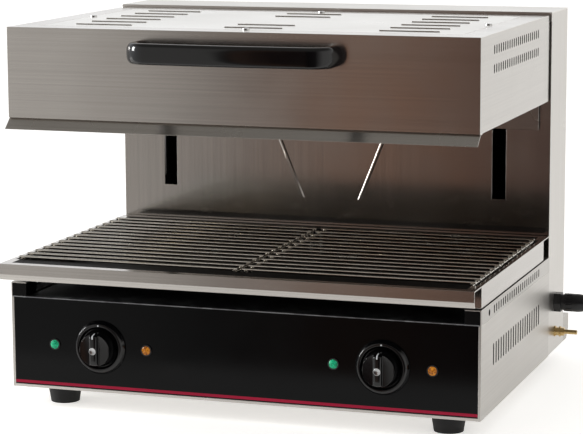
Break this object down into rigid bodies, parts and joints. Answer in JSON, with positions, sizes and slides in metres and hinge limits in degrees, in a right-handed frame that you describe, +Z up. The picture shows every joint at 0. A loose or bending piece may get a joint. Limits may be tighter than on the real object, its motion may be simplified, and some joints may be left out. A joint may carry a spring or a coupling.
{
  "type": "cheese melter",
  "caption": "Counter-top electric cheese melter: a heated hood that lifts on a rear column over wire racks and a pull-out tray, with two thermostat knobs.",
  "frame": {"origin": "middle of the whole outline, on the table under the feet", "axes": "+X to the right as seen from the front, +Y from the front panel to the back, +Z up"},
  "size_m": [0.645, 0.5466, 0.4775],
  "materials": {
    "stainless_sheet": "brushed",
    "bright_steel": "polished",
    "dark_steel": "heat darkened",
    "black_panel": "satin",
    "black_gloss": "gloss",
    "black_plastic": "matt",
    "green_lens": "gloss",
    "amber_lens": "gloss",
    "rubber": "matt",
    "brass": "bright",
    "ceramic": "matt",
    "white_plastic": "matt",
    "fibre": "matt",
    "weight_paint": "satin"
  },
  "bodies": {
    "base": {"base_floor": "stainless_sheet", "left_side_panel": "stainless_sheet", "right_side_panel": "stainless_sheet", "control_panel": "black_panel", "deck_plate": "dark_steel", "left_tray_rail": "stainless_sheet", "right_tray_rail": "stainless_sheet", "front_posts": "black_panel", "rubber_feet": "rubber", "foot_screws": "bright_steel", "thermostats": "white_plastic", "knob_bezels": "black_gloss", "lamp_housings": "black_plastic", "green_lamp_lenses": "green_lens", "amber_lamp_lenses": "amber_lens", "terminal_block": "ceramic", "guide_rods": "bright_steel", "rod_brackets": "dark_steel", "hood_stops": "rubber", "pulley_brackets": "dark_steel", "pulley_axles": "bright_steel", "pulley_rope_bends": "bright_steel", "weight_guides": "dark_steel", "back_panel": "stainless_sheet", "column_left_side": "stainless_sheet", "column_right_side": "stainless_sheet", "column_rear_cover": "stainless_sheet", "rear_cover_screws": "bright_steel", "column_top": "stainless_sheet", "rear_spacer": "stainless_sheet", "cable_gland_body": "black_plastic", "cable_gland_nut": "black_plastic", "earth_stud": "brass", "earth_nuts": "brass"},
    "hood": {"hood_shell": "stainless_sheet", "hood_top_cover": "stainless_sheet", "hood_lip": "stainless_sheet", "hood_rear_shield": "stainless_sheet", "reflector": "bright_steel", "insulation_mat": "fibre", "heating_elements": "dark_steel", "element_brackets": "dark_steel", "element_bushings": "ceramic", "handle": "black_gloss", "hood_screws": "bright_steel", "lift_arms": "dark_steel", "carriage_plate": "dark_steel", "slide_bushes": "black_plastic", "hood_ropes": "bright_steel"},
    "counterweight": {"counterweight": "weight_paint", "weight_ropes": "bright_steel"},
    "left_pulley": {"left_pulley": "black_plastic"},
    "right_pulley": {"right_pulley": "black_plastic"},
    "left_knob": {"left_knob": "black_gloss", "left_knob_shaft": "bright_steel"},
    "right_knob": {"right_knob": "black_gloss", "right_knob_shaft": "bright_steel"},
    "tray": {"grill_tray": "stainless_sheet"},
    "left_rack": {"left_rack": "bright_steel"},
    "right_rack": {"right_rack": "bright_steel"}
  },
  "joints": [
    {"name": "hood_lift", "type": "slide", "parent": "base", "child": "hood", "axis": [0, 0, -1], "range_m": [0, 0.135], "deforming": ["hood_ropes"]},
    {"name": "counterweight_lift", "type": "slide", "parent": "base", "child": "counterweight", "axis": [0, 0, 1], "range_m": [0, 0.135], "deforming": ["weight_ropes"]},
    {"name": "left_pulley_turn", "type": "hinge", "parent": "base", "child": "left_pulley", "pos_m": [-0.1725, 0.20029, 0.446], "axis": [1, 0, 0], "range_deg": [0, 553]},
    {"name": "right_pulley_turn", "type": "hinge", "parent": "base", "child": "right_pulley", "pos_m": [0.1275, 0.20029, 0.446], "axis": [1, 0, 0], "range_deg": [0, 553]},
    {"name": "left_knob_turn", "type": "hinge", "parent": "base", "child": "left_knob", "pos_m": [-0.2035, -0.22371, 0.082], "axis": [0, 1, 0], "range_deg": [0, 270]},
    {"name": "right_knob_turn", "type": "hinge", "parent": "base", "child": "right_knob", "pos_m": [0.1585, -0.22371, 0.082], "axis": [0, 1, 0], "range_deg": [0, 270]},
    {"name": "tray_slide", "type": "slide", "parent": "base", "child": "tray", "axis": [0, -1, 0], "range_m": [0, 0.3]},
    {"name": "left_rack_lift", "type": "slide", "parent": "tray", "child": "left_rack", "axis": [0, 0, 1], "range_m": [0, 0.02]},
    {"name": "right_rack_lift", "type": "slide", "parent": "tray", "child": "right_rack", "axis": [0, 0, 1], "range_m": [0, 0.02]}
  ],
  "couplings": [
    {"joint": "counterweight_lift", "follows": "hood_lift", "ratio": 1},
    {"joint": "left_pulley_turn", "follows": "hood_lift", "rad_per_m": 71.429},
    {"joint": "right_pulley_turn", "follows": "hood_lift", "rad_per_m": 71.429}
  ]
}
